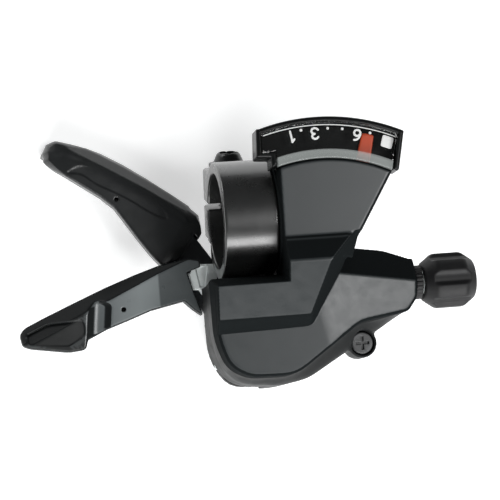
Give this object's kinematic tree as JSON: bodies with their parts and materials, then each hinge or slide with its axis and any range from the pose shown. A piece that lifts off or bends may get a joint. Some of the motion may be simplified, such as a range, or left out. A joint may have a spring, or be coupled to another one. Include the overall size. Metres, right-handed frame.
{
  "type": "thumb shifter",
  "caption": "Right-hand bicycle trigger shifter: clamp band, display window with needle, thumb and finger levers, ratchet winder and barrel adjuster.",
  "frame": {"origin": "on the handlebar's axis, in the middle of the clamp band's width", "axes": "+X along the handlebar towards the cable exit, +Y towards the rider, +Z out of the cover's face"},
  "size_m": [0.1065, 0.0635, 0.0446],
  "materials": {
    "band_black": "semi-gloss black anodised aluminium with a satin turned surface",
    "bolt_black": "black oxide steel, slightly glossy",
    "dark_steel": "dark phosphated steel",
    "housing_black": "fine moulded black plastic with a slight sheen",
    "cover_grey": "satin dark grey painted plastic",
    "plug_black": "moulded black plastic",
    "zinc_steel": "bright zinc-plated steel",
    "spring_steel": "drawn spring wire",
    "display_black": "black display frame and dial",
    "display_lens": "clear glossy window with a frosted lower edge",
    "pulley_black": "black acetal",
    "cam_white": "natural white acetal",
    "needle_red": "fluorescent red-orange plastic",
    "lever_steel": "black-coated pressed steel",
    "lever_black": "black reinforced plastic, smooth with a slight gloss",
    "lever_grey": "dark grey reinforced plastic with glossy black edges",
    "knob_black": "soft matt black moulded plastic"
  },
  "bodies": {
    "body": {"clamp_band": "band_black", "clamp_bolt": "bolt_black", "clamp_nut": "dark_steel", "band_screw": "dark_steel", "base_housing": "housing_black", "upper_cover": "cover_grey", "bottom_cover": "housing_black", "base_plate": "dark_steel", "cover_screw_1": "dark_steel", "cover_screw_2": "dark_steel", "cover_screw_3": "dark_steel", "base_screw_1": "dark_steel", "base_screw_2": "dark_steel", "cable_access_plug": "plug_black", "main_axle": "zinc_steel", "axle_washer": "zinc_steel", "axle_nut": "zinc_steel", "winder_spring": "spring_steel", "lever_return_spring": "spring_steel", "indicator_tray": "display_black", "indicator_dial": "display_black", "indicator_lens": "display_lens", "needle_pivot_pin": "zinc_steel", "release_pivot_pin": "zinc_steel", "release_spring": "spring_steel", "hold_pawl_pin": "zinc_steel"},
    "winder": {"cable_pulley": "pulley_black", "ratchet_wheel": "zinc_steel", "indicator_cam": "cam_white"},
    "needle": {"indicator_needle": "needle_red"},
    "main_lever": {"main_lever_plate": "lever_steel", "main_lever_cover": "lever_black", "feed_pawl_pin": "zinc_steel"},
    "feed_pawl_body": {"feed_pawl": "dark_steel"},
    "release_lever": {"release_lever_plate": "zinc_steel", "release_lever_cover": "lever_grey"},
    "hold_pawl_body": {"hold_pawl": "dark_steel"},
    "adjuster_carriage": {"adjuster_detent_ring": "knob_black"},
    "adjuster": {"adjuster_bolt": "zinc_steel", "adjuster_knob": "knob_black"}
  },
  "joints": [
    {"name": "main_lever_swing", "type": "hinge", "parent": "body", "child": "main_lever", "pos_m": [0.006, -0.0258, 0], "axis": [0, 0, 1], "range_deg": [0, 45], "stiffness_Nm_per_rad": 0.06, "springref_deg": -20.05},
    {"name": "release_lever_swing", "type": "hinge", "parent": "body", "child": "release_lever", "pos_m": [-0.0042, -0.018, -0.01325], "axis": [0, 0, 1], "range_deg": [-12, 0], "stiffness_Nm_per_rad": 0.06, "springref_deg": 20.05},
    {"name": "winder_turn", "type": "hinge", "parent": "body", "child": "winder", "pos_m": [0.006, -0.0258, 0], "axis": [0, 0, 1], "range_deg": [-20, 120]},
    {"name": "needle_swing", "type": "hinge", "parent": "body", "child": "needle", "pos_m": [0.0165, -0.0265, 0.0072], "axis": [0, 0, 1], "range_deg": [-4.2, 25.2]},
    {"name": "feed_pawl_swing", "type": "hinge", "parent": "main_lever", "child": "feed_pawl_body", "pos_m": [0.00105, -0.01356, -0.01585], "axis": [0, 0, 1], "range_deg": [-8, 0], "stiffness_Nm_per_rad": 0.004, "springref_deg": 11.46},
    {"name": "hold_pawl_swing", "type": "hinge", "parent": "body", "child": "hold_pawl_body", "pos_m": [0.001, -0.0365, -0.01585], "axis": [0, 0, 1], "range_deg": [0, 18]},
    {"name": "adjuster_travel", "type": "slide", "parent": "body", "child": "adjuster_carriage", "axis": [1, 0, 0], "range_m": [0, 0.0016]},
    {"name": "adjuster_turn", "type": "hinge", "parent": "adjuster_carriage", "child": "adjuster", "pos_m": [0.045, -0.0178, 0.0015], "axis": [1, 0, 0], "range_deg": [0, 720]}
  ],
  "couplings": [
    {"joint": "needle_swing", "follows": "winder_turn", "ratio": 0.21},
    {"joint": "hold_pawl_swing", "follows": "release_lever_swing", "ratio": -1.5},
    {"joint": "adjuster_turn", "follows": "adjuster_travel", "rad_per_m": 7853.9}
  ]
}
